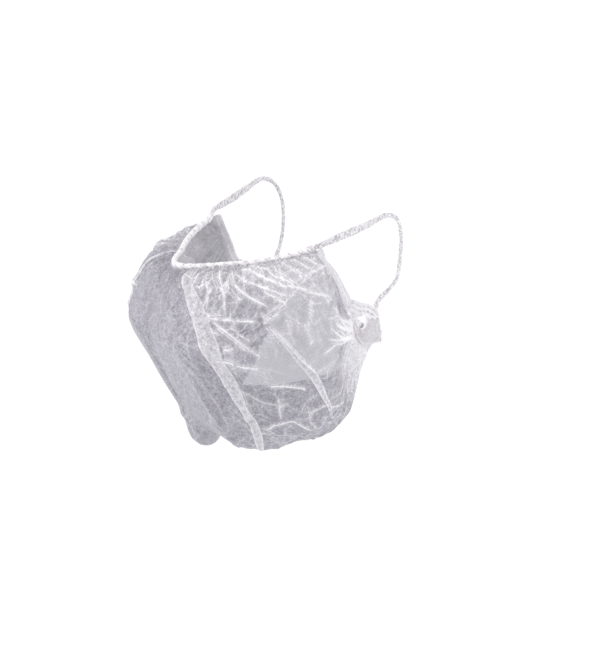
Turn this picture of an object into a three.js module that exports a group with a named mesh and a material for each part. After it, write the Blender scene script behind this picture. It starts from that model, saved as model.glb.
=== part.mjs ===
// Disposable beard net, in the form that it takes when worn: one sheet of spunbonded nonwoven, gathered on
// elastic along its top, rear and bottom edges, with a covered elastic loop for each ear.
// Millimetres, +Z up. The wearer faces -Y, and the wearer's left is +X. The origin is halfway between the
// tops of the two ears, where the loops hang.
import * as THREE from "three";

// The head that the net fits
const EAR_SPAN = 152; // between the places where the two loops hang
const FACE_REACH = 120; // from the ears forward to the top edge under the nose
const NOSE_DROP = 32; // from the ears down to the middle of the top edge
const HEAD_CENTRE = 0.25; // share of FACE_REACH from the ears to the axis that the turns below go round
const EAR_BACK = 15; // from the top of the ear back to the loop behind it

// The cloth
const POUCH_DEPTH = 128; // from the middle of the top edge to the lowest part of the pouch
const CLOTH_WALL = 1.2; // thickness of the wall that stands for the sheet
const GATHER_HEIGHT = 1.2; // of the puckers beside the elastic
const GATHER_COUNT = 17; // puckers along the top edge
const REAR_GATHER_COUNT = 4; // puckers along a rear edge
const GATHER_REACH = 0.08; // how far in a pucker stands highest, as a share of the sheet
const FOLD_HEIGHT = 5; // of a main fold
const COLUMNS = 66; // faces from one rear edge to the other
const ROWS = 30; // faces from the top edge to the bottom edge

// The gathered rolls over the elastic
const HEM_WIDTH = 4.2; // of the top and bottom edges
const HEM_THICKNESS = 3;
const REAR_HEM_WIDTH = 6.4;
const REAR_HEM_THICKNESS = 3;
const REAR_HEM_START = 0.03; // share of the sheet's width at which the rear roll starts, under the strap
const REAR_HEM_END = 0.5; // and at which it ends, above the tab
const STRAP_WIDTH = 5.2; // of the ear loop
const STRAP_THICKNESS = 2.8;
const RUFFLE = 0.12; // how much a roll swells and narrows, as a share of its width
const RUFFLE_PITCH = 11; // from one swelling to the next
const ROLL_SIDES = 6;
const ROLL_STEP = 5; // between a roll's sections

// The bunched and welded end of the sheet, behind each lower corner
const TAB_LENGTH = 32; // from the end of the rear roll back to the cut edge
const TAB_HEIGHT = 34;
const TAB_THICKNESS = 1.8;
const TAB_LIFT = 1; // of its middle outside the rear roll's middle, clear of the cloth's corner
const TAB_TEETH = 4; // of the cut edge
const TAB_TOOTH = 1.4; // depth of a tooth
const STRAP_SEAT_TURN = 36; // slope of the edge that the strap is welded to, in degrees

const SEAT_GAP = 0.3; // between pieces that touch

// Five places from the middle of the face to the rear edge, as shares of the way round
const PLACES = { front: 0, bulge: 0.33, cheek: 0.62, jaw: 0.93, rear: 1 };

// The cloth's sections, from the top edge to the bottom edge. width is the share of the sheet's width, turn
// the angle round the head at the rear edge in degrees, out the share of the head's own oval, and down the
// share of POUCH_DEPTH, each at the five places.
const SECTIONS = [
  { width: 0, turn: 74.6, out: [1, 0.87, 0.85, 0.87, 0.88], down: [0, -0.03, -0.057, -0.1, -0.117] },
  { width: 0.07, turn: 78.7, out: [1.09, 1.09, 1.07, 1.02, 0.906], down: [0.08, 0.03, -0.01, -0.05, -0.05] },
  { width: 0.17, turn: 82.6, out: [1.14, 1.22, 1.19, 1.09, 0.93], down: [0.22, 0.2, 0.165, 0.095, 0.016] },
  { width: 0.27, turn: 85.4, out: [1.16, 1.27, 1.24, 1.11, 0.942], down: [0.365, 0.345, 0.33, 0.26, 0.08] },
  { width: 0.39, turn: 87.4, out: [1.06, 1.12, 1.14, 1.06, 0.946], down: [0.55, 0.56, 0.55, 0.445, 0.14] },
  { width: 0.52, turn: 90.2, out: [0.92, 0.97, 1.02, 0.99, 0.94], down: [0.75, 0.76, 0.74, 0.61, 0.2] },
  { width: 0.64, turn: 95.5, out: [0.75, 0.8, 0.85, 0.9, 0.91], down: [0.905, 0.935, 0.895, 0.74, 0.265] },
  { width: 0.75, turn: 103.5, out: [0.6, 0.67, 0.7, 0.83, 0.9], down: [0.985, 1, 0.955, 0.8, 0.335] },
  { width: 0.87, turn: 110, out: [0.56, 0.6, 0.64, 0.78, 0.885], down: [0.905, 0.915, 0.84, 0.705, 0.4] },
  { width: 1, turn: 114, out: [0.6, 0.575, 0.625, 0.76, 0.868], down: [0.705, 0.695, 0.665, 0.58, 0.437] },
];

// The main folds. Each runs from one place of the sheet to another: across is the share of the way round,
// from -1 at the wearer's right to 1 at the left, and width the share of the sheet's width. spread is the
// fold's half width as a share of POUCH_DEPTH, and rise its height as a share of FOLD_HEIGHT.
const FOLDS = [
  { across: [0.12, 0.3], width: [0.04, 0.62], spread: 0.055, rise: 0.7 },
  { across: [0.5, 0.8], width: [0.3, 0.6], spread: 0.06, rise: 0.8 },
  { across: [0.3, 0.7], width: [0.06, 0.16], spread: 0.05, rise: 0.6 },
  { across: [0.2, 0.52], width: [0.24, 0.3], spread: 0.045, rise: 0.5 },
  { across: [0.2, 0.5], width: [0.26, 0.46], spread: 0.045, rise: 0.45 },
  { across: [0.66, 0.94], width: [0.16, 0.36], spread: 0.05, rise: 0.6 },
  { across: [-0.06, -0.2], width: [0.1, 0.66], spread: 0.06, rise: -0.5 },
  { across: [-0.45, -0.62], width: [0.12, 0.6], spread: 0.07, rise: 0.6 },
  { across: [-0.7, -0.92], width: [0.18, 0.46], spread: 0.06, rise: 0.7 },
  { across: [-0.28, -0.52], width: [0.7, 0.72], spread: 0.12, rise: 2.4 },
];

// The ear loop in front of the ear: way is the share of the way from the top roll's end to the top of the
// ear, and bow how far it stands out from the straight line, as a share of EAR_SPAN.
const LOOP_FRONT = [
  { way: 0.35, bow: 0.008 },
  { way: 0.7, bow: 0.009 },
];

// The ear loop from the top of the ear to the tab: back is the share of EAR_BACK, down the share of the way
// down to the tab, and out the share of half EAR_SPAN.
const LOOP_BACK = [
  { back: 0, down: 0, out: 1 },
  { back: 0.6, down: 0.06, out: 0.985 },
  { back: 0.95, down: 0.23, out: 0.955 },
  { back: 1.0, down: 0.47, out: 0.935 },
  { back: 0.8, down: 0.72, out: 0.925 },
];

// The tab's outline: back is the share of TAB_LENGTH behind the end of the rear roll, and down the share of
// TAB_HEIGHT below it. The upper lobe runs from that roll to the strap.
const TAB_TOP = [
  { back: 0.2, down: 0.0 },
  { back: 0.38, down: 0.07 },
  { back: 0.59, down: 0.14 },
  { back: 0.76, down: 0.22 },
];

// The lower lobe, from the foot of the cut edge round to the front of the tab
const TAB_FRONT = [
  { back: 1.0, down: 0.82 },
  { back: 1.0, down: 1.0 },
  { back: 0.66, down: 1.0 },
  { back: 0.42, down: 0.95 },
  { back: 0.26, down: 0.76 },
  { back: 0.18, down: 0.45 },
  { back: 0.1, down: 0.25 },
];

// The opening between the two lobes
const TAB_HOLE = [
  { back: 0.3, down: 0.34 },
  { back: 0.53, down: 0.42 },
  { back: 0.36, down: 0.5 },
];

// Value at a place between knots, by a cubic through every one. level says that it starts level, as it does
// where the sheet's other half mirrors it.
function smooth(knots, values, t, level = false) {
  const last = knots.length - 1;
  let i = 0;
  while (i < last - 1 && t > knots[i + 1]) {
    i += 1;
  }
  const slope = (j) => {
    if (j === 0 && level) {
      return 0;
    }
    const before = Math.max(j - 1, 0);
    const after = Math.min(j + 1, last);
    return (values[after] - values[before]) / (knots[after] - knots[before]);
  };
  const span = knots[i + 1] - knots[i];
  const s = (t - knots[i]) / span;
  const r = 1 - s;
  const ends = values[i] * (1 + 2 * s) * r * r + values[i + 1] * (1 + 2 * r) * s * s;
  return ends + span * s * r * (slope(i) * r - slope(i + 1) * s);
}

const PLACE_KNOTS = Object.values(PLACES);
const WIDTH_KNOTS = SECTIONS.map((row) => row.width);
const TURNS = SECTIONS.map((row) => row.turn);

// Point of the smooth sheet, before folds. across runs from -1 to 1, and width from 0 to 1.
function sheetPoint(across, width) {
  const place = Math.abs(across);
  const side = Math.sign(across);
  const at = (key) => {
    const column = SECTIONS.map((row) => smooth(PLACE_KNOTS, row[key], place, true));
    return smooth(WIDTH_KNOTS, column, width);
  };
  const turn = THREE.MathUtils.degToRad(place * smooth(WIDTH_KNOTS, TURNS, width));
  const out = at("out");
  return new THREE.Vector3(
    side * (EAR_SPAN / 2) * out * Math.sin(turn),
    -FACE_REACH * (HEAD_CENTRE + (1 - HEAD_CENTRE) * out * Math.cos(turn)),
    -NOSE_DROP - POUCH_DEPTH * at("down"),
  );
}

const PROBE = 0.002; // share of the sheet over which a direction is measured

function alongSheet(across, width) {
  const start = sheetPoint(Math.max(across - PROBE, -1), width);
  return sheetPoint(Math.min(across + PROBE, 1), width).sub(start).normalize();
}

function downSheet(across, width) {
  const start = sheetPoint(across, Math.max(width - PROBE, 0));
  return sheetPoint(across, Math.min(width + PROBE, 1)).sub(start).normalize();
}

// The sheet's length and width as it hangs, for the distance to a fold
const HUNG_LENGTH = 2.9 * FACE_REACH;
const HUNG_WIDTH = 1.5 * POUCH_DEPTH;

const onSheet = (across, width) => new THREE.Vector2((across * HUNG_LENGTH) / 2, width * HUNG_WIDTH);

function foldHeight(across, width) {
  const here = onSheet(across, width);
  let height = 0;
  for (const fold of FOLDS) {
    const start = onSheet(fold.across[0], fold.width[0]);
    const way = onSheet(fold.across[1], fold.width[1]).sub(start);
    const part = THREE.MathUtils.clamp(here.clone().sub(start).dot(way) / way.lengthSq(), 0, 1);
    const away = here.distanceTo(start.addScaledVector(way, part)) / (fold.spread * POUCH_DEPTH);
    height += fold.rise * FOLD_HEIGHT * Math.exp(-away * away);
  }
  return height;
}

// Puckers stand highest a little way in from an edge. The edge itself stays straight at its roll.
function gatherHeight(across, width) {
  const fade = (away) => (away / GATHER_REACH) * Math.exp(1 - away / GATHER_REACH);
  const wave = Math.cos(across * GATHER_COUNT * Math.PI);
  const rearWave = Math.cos(width * REAR_GATHER_COUNT * 2 * Math.PI);
  return GATHER_HEIGHT * ((fade(width) + fade(1 - width)) * wave + fade(1 - Math.abs(across)) * rearWave);
}

// Folds die out at the edges, where the elastic holds the cloth.
const HELD_EDGE = 0.1; // share of the sheet over which they do

function clothPoint(across, width, offset) {
  const away = Math.min(width, 1 - width, 1 - Math.abs(across));
  const free = Math.min(1, away / HELD_EDGE);
  const outward = downSheet(across, width).cross(alongSheet(across, width)).normalize();
  const height = offset + free * (foldHeight(across, width) + gatherHeight(across, width));
  return sheetPoint(across, width).addScaledVector(outward, height);
}

function closedGeometry(points, faces) {
  const geometry = new THREE.BufferGeometry();
  const values = points.flatMap((point) => point.toArray());
  geometry.setAttribute("position", new THREE.Float32BufferAttribute(values, 3));
  geometry.setIndex(faces.flat());
  geometry.computeVertexNormals();
  return geometry;
}

// The cloth's wall: its outer and inner faces, and the cut round its four edges
function clothGeometry() {
  const points = [];
  for (const offset of [CLOTH_WALL / 2, -CLOTH_WALL / 2]) {
    for (let i = 0; i <= ROWS; i += 1) {
      for (let j = 0; j <= COLUMNS; j += 1) {
        points.push(clothPoint((2 * j) / COLUMNS - 1, i / ROWS, offset));
      }
    }
  }
  const inner = (ROWS + 1) * (COLUMNS + 1);
  const at = (i, j) => i * (COLUMNS + 1) + j;
  const faces = [];
  const quad = (a, b, c, d) => faces.push([a, b, c], [a, c, d]);
  const edge = (a, b) => quad(b, a, a + inner, b + inner);
  for (let i = 0; i < ROWS; i += 1) {
    for (let j = 0; j < COLUMNS; j += 1) {
      quad(at(i, j), at(i + 1, j), at(i + 1, j + 1), at(i, j + 1));
      quad(at(i, j) + inner, at(i, j + 1) + inner, at(i + 1, j + 1) + inner, at(i + 1, j) + inner);
    }
    edge(at(i, 0), at(i + 1, 0));
    edge(at(i + 1, COLUMNS), at(i, COLUMNS));
  }
  for (let j = 0; j < COLUMNS; j += 1) {
    edge(at(0, j + 1), at(0, j));
    edge(at(ROWS, j), at(ROWS, j + 1));
  }
  return closedGeometry(points, faces);
}

const ROUTE_SAMPLES = 40; // for the length of a route

// A gathered roll: an oval section that swells and narrows along a route, with flat ends. The route gives
// the middle of the section, and the way that its width lies, for shares of its length from 0 to 1.
function rollGeometry(route, width, thickness) {
  const samples = Array.from({ length: ROUTE_SAMPLES + 1 }, (_, i) => route(i / ROUTE_SAMPLES).middle);
  const length = samples.slice(1).reduce((sum, point, i) => sum + point.distanceTo(samples[i]), 0);
  const steps = Math.ceil(length / ROLL_STEP);
  const swellings = Math.round(length / RUFFLE_PITCH);
  const points = [];
  for (let i = 0; i <= steps; i += 1) {
    const t = i / steps;
    const { middle, across } = route(t);
    const behind = route(Math.max(t - PROBE, 0)).middle;
    const tangent = route(Math.min(t + PROBE, 1)).middle.sub(behind).normalize();
    const wide = across.addScaledVector(tangent, -across.dot(tangent)).normalize();
    const thick = tangent.cross(wide);
    const swell = 1 - RUFFLE + RUFFLE * Math.cos(2 * Math.PI * swellings * t);
    for (let k = 0; k < ROLL_SIDES; k += 1) {
      const angle = (2 * Math.PI * k) / ROLL_SIDES;
      const point = middle.clone().addScaledVector(wide, (width / 2) * swell * Math.cos(angle));
      points.push(point.addScaledVector(thick, (thickness / 2) * Math.sin(angle)));
    }
  }
  const faces = [];
  for (let i = 0; i < steps; i += 1) {
    for (let k = 0; k < ROLL_SIDES; k += 1) {
      const a = i * ROLL_SIDES + k;
      const b = i * ROLL_SIDES + ((k + 1) % ROLL_SIDES);
      faces.push([a, b, b + ROLL_SIDES], [a, b + ROLL_SIDES, a + ROLL_SIDES]);
    }
  }
  const last = steps * ROLL_SIDES;
  for (let k = 1; k < ROLL_SIDES - 1; k += 1) {
    faces.push([0, k + 1, k], [last, last + k, last + k + 1]);
  }
  return closedGeometry(points, faces);
}

// Way across an edge, out of the cloth. The cloth may come up to its edge aslant.
function acrossEdge(edgeWay, clothWay) {
  return edgeWay.clone().multiplyScalar(clothWay.dot(edgeWay)).sub(clothWay).normalize();
}

// A roll lies just beyond the cloth's edge.
function beyondEdge(point, edgeWay, clothWay, width) {
  const across = acrossEdge(edgeWay, clothWay);
  return { middle: point.addScaledVector(across, width / 2 + SEAT_GAP), across };
}

function topHemRoute(t) {
  const across = 2 * t - 1;
  return beyondEdge(sheetPoint(across, 0), alongSheet(across, 0), downSheet(across, 0), HEM_WIDTH);
}

function bottomHemRoute(t) {
  const across = 2 * t - 1;
  return beyondEdge(sheetPoint(across, 1), alongSheet(across, 1), downSheet(across, 1).negate(), HEM_WIDTH);
}

// A rear roll starts under the strap, and ends at the tab.
function rearHemRoute(side, t) {
  const width = REAR_HEM_START + t * (REAR_HEM_END - REAR_HEM_START);
  const inward = alongSheet(side, width).multiplyScalar(-side);
  return beyondEdge(sheetPoint(side, width), downSheet(side, width), inward, REAR_HEM_WIDTH);
}

// Middle of a route's end, and the way that it leaves there
function routeEnd(route) {
  const end = route(1);
  const way = end.middle.clone().sub(route(1 - PROBE).middle).normalize();
  return { point: end.middle.clone().addScaledVector(way, SEAT_GAP), way, across: end.across };
}

// The tab stands upright along the side of the jaw, in a plane just outside the cloth's corner.
function tabFrame(side) {
  const end = routeEnd((t) => rearHemRoute(side, t));
  const outward = end.way.clone().cross(end.across).multiplyScalar(side).normalize();
  const up = new THREE.Vector3(0, 0, 1);
  const back = up.clone().cross(outward).multiplyScalar(side).normalize();
  const down = outward.clone().multiplyScalar(up.dot(outward)).sub(up).normalize();
  return { end, outward, back, down, origin: end.point.clone().addScaledVector(outward, TAB_LIFT) };
}

const tabPlace = (row) => new THREE.Vector2(row.back * TAB_LENGTH, row.down * TAB_HEIGHT);

// The strap is welded on along a straight edge between the upper lobe and the cut edge.
function strapSeat() {
  const start = tabPlace(TAB_TOP[TAB_TOP.length - 1]);
  const turn = THREE.MathUtils.degToRad(STRAP_SEAT_TURN);
  const way = new THREE.Vector2(Math.cos(turn), Math.sin(turn));
  const finish = start.clone().addScaledVector(way, STRAP_WIDTH);
  return { start, finish, out: new THREE.Vector2(way.y, -way.x) };
}

function tabOutline(frame) {
  const flat = (v) => new THREE.Vector2(v.dot(frame.back), v.dot(frame.down));
  const seatWay = flat(frame.end.across).multiplyScalar(REAR_HEM_WIDTH / 2);
  const seat = strapSeat();
  const corner = tabPlace(TAB_FRONT[0]);
  const teeth = [];
  for (let i = 1; i <= 2 * TAB_TEETH; i += 1) {
    const point = seat.finish.clone().lerp(corner, i / (2 * TAB_TEETH + 1));
    point.x += i % 2 ? -TAB_TOOTH / 2 : TAB_TOOTH / 2;
    teeth.push(point);
  }
  return [
    seatWay.clone().negate(),
    seatWay,
    ...TAB_TOP.map(tabPlace),
    seat.finish,
    ...teeth,
    ...TAB_FRONT.map(tabPlace),
  ];
}

function tabMesh(side) {
  const frame = tabFrame(side);
  const shape = new THREE.Shape(tabOutline(frame));
  shape.holes.push(new THREE.Path(TAB_HOLE.map(tabPlace)));
  const geometry = new THREE.ExtrudeGeometry(shape, { depth: TAB_THICKNESS, bevelEnabled: false });
  geometry.translate(0, 0, -TAB_THICKNESS / 2);
  const mesh = new THREE.Mesh(geometry);
  const basis = new THREE.Matrix4().makeBasis(frame.back, frame.down, frame.back.clone().cross(frame.down));
  mesh.quaternion.setFromRotationMatrix(basis);
  mesh.position.copy(frame.origin);
  return mesh;
}

// The loop leaves the top roll's end, passes over the ear and behind it, and lands on the tab.
function loopRoute(side) {
  const start = routeEnd((t) => topHemRoute((1 + side * (2 * t - 1)) / 2));
  const frame = tabFrame(side);
  const seat = strapSeat();
  const inPlane = (v) => frame.back.clone().multiplyScalar(v.x).addScaledVector(frame.down, v.y);
  const landing = frame.origin.clone().add(inPlane(seat.start.clone().lerp(seat.finish, 0.5)));
  const arrival = inPlane(seat.out);
  const earTop = new THREE.Vector3((side * EAR_SPAN) / 2, 0, STRAP_WIDTH / 2);
  const sideways = new THREE.Vector3(1, 0, 0);
  const front = LOOP_FRONT.map((row) => {
    const point = start.point.clone().lerp(earTop, row.way);
    return point.addScaledVector(sideways, side * row.bow * EAR_SPAN);
  });
  const behind = LOOP_BACK.map((row) => new THREE.Vector3(
    earTop.x * row.out,
    EAR_BACK * row.back,
    THREE.MathUtils.lerp(earTop.z, landing.z, row.down),
  ));
  const curve = new THREE.CatmullRomCurve3([
    start.point,
    start.point.clone().addScaledVector(start.way, STRAP_WIDTH),
    ...front,
    ...behind,
    landing.clone().addScaledVector(arrival, STRAP_WIDTH),
    landing.clone().addScaledVector(arrival, SEAT_GAP),
  ]);
  return (t) => ({ middle: curve.getPointAt(t), across: sideways.clone().cross(curve.getTangentAt(t)) });
}

const NONWOVEN = { color: "#d9d5dc", roughness: 0.85, metalness: 0 };
const ELASTIC = { color: "#e2dedf", roughness: 0.9, metalness: 0 };

const beardNet = new THREE.Group();

function addPiece(name, piece, look) {
  const mesh = piece.isMesh ? piece : new THREE.Mesh(piece);
  mesh.name = name;
  mesh.material = new THREE.MeshStandardMaterial(look);
  beardNet.add(mesh);
}

addPiece("net_pouch", clothGeometry(), NONWOVEN);
addPiece("upper_hem", rollGeometry(topHemRoute, HEM_WIDTH, HEM_THICKNESS), ELASTIC);
addPiece("lower_hem", rollGeometry(bottomHemRoute, HEM_WIDTH, HEM_THICKNESS), ELASTIC);
for (const [name, side] of Object.entries({ left: 1, right: -1 })) {
  const rearHem = rollGeometry((t) => rearHemRoute(side, t), REAR_HEM_WIDTH, REAR_HEM_THICKNESS);
  addPiece(`rear_hem_${name}`, rearHem, NONWOVEN);
  addPiece(`corner_tab_${name}`, tabMesh(side), NONWOVEN);
  addPiece(`ear_loop_${name}`, rollGeometry(loopRoute(side), STRAP_WIDTH, STRAP_THICKNESS), ELASTIC);
}

export default beardNet;
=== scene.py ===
# %% [markdown]
# # Disposable beard net
#
# A beard net is one sheet of thin spunbonded nonwoven. Its edges are gathered on elastic, so that the flat
# sheet becomes a pouch that is open above and behind, and a covered elastic loop holds each side up. It is
# shown in the form that it has in use. This lesson makes the pouch as an open sheet, one face thick, shaped
# by a table of sections, and then adds what the hand and the elastic did to it: pleats, creases and gathers.
# All lengths are in millimetres until a mesh is made. +X is the net's left, and its front looks along -Y.

# %% Load the frame
import math

import bmesh
import bpy
import numpy as np
from mathutils import Matrix, Vector


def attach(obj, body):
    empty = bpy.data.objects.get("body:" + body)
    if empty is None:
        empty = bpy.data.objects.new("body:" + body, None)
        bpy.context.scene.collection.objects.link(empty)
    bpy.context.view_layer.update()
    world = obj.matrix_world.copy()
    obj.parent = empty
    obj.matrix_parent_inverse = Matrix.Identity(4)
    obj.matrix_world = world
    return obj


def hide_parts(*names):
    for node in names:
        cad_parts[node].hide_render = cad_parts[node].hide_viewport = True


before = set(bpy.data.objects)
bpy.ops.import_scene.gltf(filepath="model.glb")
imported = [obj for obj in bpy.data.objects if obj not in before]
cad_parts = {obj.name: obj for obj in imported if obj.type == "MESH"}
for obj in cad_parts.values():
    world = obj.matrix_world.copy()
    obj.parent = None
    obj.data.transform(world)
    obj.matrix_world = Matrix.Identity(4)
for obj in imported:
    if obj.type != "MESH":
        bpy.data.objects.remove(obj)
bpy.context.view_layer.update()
MM = 0.001
print("nodes:", sorted(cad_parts))

# %% [markdown]
# ## Camera
#
# The photo looks at the net's left side, 55 degrees round from the front and 12 degrees from above. The
# camera is placed first, since every choice of detail is judged through it. A long lens from 1.3 m keeps
# the near and far sides of the pouch close to the same scale, as they are in the photo. The camera could be
# framed with its shift, but the shift would stay in every other view, so it is turned to the aim instead.

# %% Camera
TURN, TILT = math.radians(55), math.radians(12)
RIGHT = Vector((math.cos(TURN), math.sin(TURN), 0))
BACK = Vector((math.sin(TURN) * math.cos(TILT), -math.cos(TURN) * math.cos(TILT), math.sin(TILT)))
UP = BACK.cross(RIGHT)
CAMERA_DISTANCE = 1.3
PIXELS_PER_METRE = 1420
IMAGE = (590, 668)
ORIGIN_PIXEL = (322, 200)

aim_right = (IMAGE[0] / 2 - ORIGIN_PIXEL[0]) / PIXELS_PER_METRE
aim_up = (ORIGIN_PIXEL[1] - IMAGE[1] / 2) / PIXELS_PER_METRE
camera_data = bpy.data.cameras.new("camera")
camera_data.sensor_fit = "VERTICAL"
camera_data.sensor_height = 36
camera_data.lens = PIXELS_PER_METRE * math.hypot(CAMERA_DISTANCE, aim_right, aim_up) * 36 / IMAGE[1]
camera = bpy.data.objects.new("camera", camera_data)
aim = RIGHT * aim_right + UP * aim_up
camera.location = BACK * CAMERA_DISTANCE
away = (camera.location - aim).normalized()
camera_right = (RIGHT - away * RIGHT.dot(away)).normalized()
camera.rotation_euler = Matrix((camera_right, away.cross(camera_right), away)).transposed().to_euler()
bpy.context.collection.objects.link(camera)
bpy.context.scene.camera = camera
print("lens", round(camera_data.lens, 1), "mm")

# %% [markdown]
# ## Floor and light
#
# The net is white and thin, so it needs a pale surround and light that grazes it: a large soft key from the
# front and above rakes across the near side and draws the folds, and a weak fill keeps the far side grey.

# %% Floor and light
def srgb(hex_colour):
    """A colour written as sRGB hex, as the linear values that a shader takes."""
    values = [int(hex_colour[i : i + 2], 16) / 255 for i in (1, 3, 5)]
    linear = [v / 12.92 if v <= 0.04045 else ((v + 0.055) / 1.055) ** 2.4 for v in values]
    return (*linear, 1)


def add_node(material, kind, inputs=None, **settings):
    """Adds one node with its settings, and sets its inputs, or links them to a socket or a node's first one."""
    node = material.node_tree.nodes.new("ShaderNode" + kind)
    for key, value in settings.items():
        setattr(node, key, value)
    for key, value in (inputs or {}).items():
        if isinstance(value, bpy.types.Node):
            value = value.outputs[0]
        if isinstance(value, bpy.types.NodeSocket):
            material.node_tree.links.new(value, node.inputs[key])
        else:
            node.inputs[key].default_value = value
    return node


def new_material(name):
    material = bpy.data.materials.new(name)
    material.use_nodes = True
    material.node_tree.nodes.clear()
    return material


FLOOR_DROP = 0.55
bpy.ops.object.select_all(action="DESELECT")
bpy.ops.mesh.primitive_plane_add(size=160, location=(0, 0, -FLOOR_DROP))
floor = bpy.context.object
floor.name = "floor"
# A matt white ground with no gloss, so that nothing but the net catches the eye
paper = new_material("white matt paper")
paper_shader = add_node(paper, "BsdfPrincipled", {"Base Color": srgb("#FCFCFD"), "Roughness": 0.9})
add_node(paper, "OutputMaterial", {"Surface": paper_shader})
floor.data.materials.append(paper)


def soft_light(name, way, spread, strength):
    """Light from far away, from one way, with soft shadows. spread is the angle that it fills, in degrees."""
    data = bpy.data.lights.new(name, "SUN")
    data.angle = math.radians(spread)
    data.energy = strength
    light = bpy.data.objects.new(name, data)
    light.location = Vector(way)
    light.rotation_euler = Vector(way).to_track_quat("Z", "Y").to_euler()
    bpy.context.collection.objects.link(light)


soft_light("key", (-0.35, -1.0, 1.05), 22, 1.6)
soft_light("fill", (0.85, 0.9, 0.5), 40, 0.85)
sky = bpy.data.worlds.new("studio")
sky.use_nodes = True
sky.node_tree.nodes["Background"].inputs["Color"].default_value = srgb("#F2F3F6")
sky.node_tree.nodes["Background"].inputs["Strength"].default_value = 0.72
bpy.context.scene.world = sky
bpy.context.scene.view_settings.view_transform = "Standard"

# %% [markdown]
# ## The smooth sheet
#
# The pouch has no seams: it is one sheet, so it is one surface with two parameters. `across` runs from the
# right rear edge, -1, to the left one, 1, and `width` from the top edge, 0, to the bottom edge, 1. A short
# table gives the section at ten widths, and a cubic joins them. Modelling by hand from a plane would give
# the same form, but the table can be matched to the photo one number at a time.

# %% The smooth sheet
LOOP_SPAN, FRONT_REACH, TOP_DROP, POUCH_DEPTH = 152, 120, 32, 128
# The pouch follows an oval. Its middle lies at this share of the reach to the front
OVAL_CENTRE = 0.25
PLACES = [0, 0.33, 0.62, 0.93, 1]
# width, turn at the rear edge in degrees, share of the oval and share of the depth at each place
SECTIONS = [
    (0, 74.6, [1, 0.87, 0.85, 0.87, 0.88], [0, -0.03, -0.057, -0.1, -0.117]),
    (0.07, 78.7, [1.09, 1.09, 1.07, 1.02, 0.906], [0.08, 0.03, -0.01, -0.05, -0.05]),
    (0.17, 82.6, [1.14, 1.22, 1.19, 1.09, 0.93], [0.22, 0.2, 0.165, 0.095, 0.016]),
    (0.27, 85.4, [1.16, 1.27, 1.24, 1.11, 0.942], [0.365, 0.345, 0.33, 0.26, 0.08]),
    (0.39, 87.4, [1.06, 1.12, 1.14, 1.06, 0.946], [0.55, 0.56, 0.55, 0.445, 0.14]),
    (0.52, 90.2, [0.92, 0.97, 1.02, 0.99, 0.94], [0.75, 0.76, 0.74, 0.61, 0.2]),
    (0.64, 95.5, [0.75, 0.8, 0.85, 0.9, 0.91], [0.905, 0.935, 0.895, 0.74, 0.265]),
    (0.75, 103.5, [0.6, 0.67, 0.7, 0.83, 0.9], [0.985, 1, 0.955, 0.8, 0.335]),
    (0.87, 110, [0.56, 0.6, 0.64, 0.78, 0.885], [0.905, 0.915, 0.84, 0.705, 0.4]),
    (1, 114, [0.6, 0.575, 0.625, 0.76, 0.868], [0.705, 0.695, 0.665, 0.58, 0.437]),
]


def smooth(knots, values, t, level=False):
    """Values at t between knots, by a cubic through every one. level says that it starts level."""
    knots, values = np.asarray(knots, float), np.asarray(values, float)
    if values.ndim == 1:
        values = np.repeat(values[:, None], t.size, axis=1)
    slope = np.empty_like(values)
    slope[1:-1] = (values[2:] - values[:-2]) / (knots[2:] - knots[:-2])[:, None]
    slope[0] = 0 if level else (values[1] - values[0]) / (knots[1] - knots[0])
    slope[-1] = (values[-1] - values[-2]) / (knots[-1] - knots[-2])
    i = np.clip(np.searchsorted(knots, t) - 1, 0, len(knots) - 2)
    n = np.arange(t.size)
    span = knots[i + 1] - knots[i]
    s = (t - knots[i]) / span
    r = 1 - s
    ends = values[i, n] * (1 + 2 * s) * r * r + values[i + 1, n] * (1 + 2 * r) * s * s
    return ends + span * s * r * (slope[i, n] * r - slope[i + 1, n] * s)


def sheet_point(across, width):
    """Points of the smooth sheet, in millimetres."""
    widths = [row[0] for row in SECTIONS]

    def at(column):
        rows = [smooth(PLACES, row[column], np.abs(across), level=True) for row in SECTIONS]
        return smooth(widths, np.stack(rows), width)

    turn = np.radians(np.abs(across) * smooth(widths, [row[1] for row in SECTIONS], width))
    out = at(2)
    x = np.sign(across) * LOOP_SPAN / 2 * out * np.sin(turn)
    y = -FRONT_REACH * (OVAL_CENTRE + (1 - OVAL_CENTRE) * out * np.cos(turn))
    return np.stack([x, y, -TOP_DROP - POUCH_DEPTH * at(3)], axis=1)


def unit(vectors):
    return vectors / np.linalg.norm(vectors, axis=1, keepdims=True)


def outward_normal(across, width, probe=0.002):
    """The way out of the sheet, from two short steps on it."""
    right, left = np.maximum(across - probe, -1), np.minimum(across + probe, 1)
    above, below = np.maximum(width - probe, 0), np.minimum(width + probe, 1)
    along = sheet_point(left, width) - sheet_point(right, width)
    down = sheet_point(across, below) - sheet_point(across, above)
    return unit(np.cross(down, along))

# %% [markdown]
# ## Pleats
#
# Where there was too much cloth for the elastic, it folded over itself into three layers. In see-through
# cloth such a pleat shows as a denser band with one crisp edge. A bump can't do that, so the pleats are
# real: the columns of the mesh run forward to the fold, back under it and forward again.

# %% Pleats
# The cloth's size as it hangs, along its middle
HUNG_LENGTH, HUNG_WIDTH = 348, 192
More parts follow.
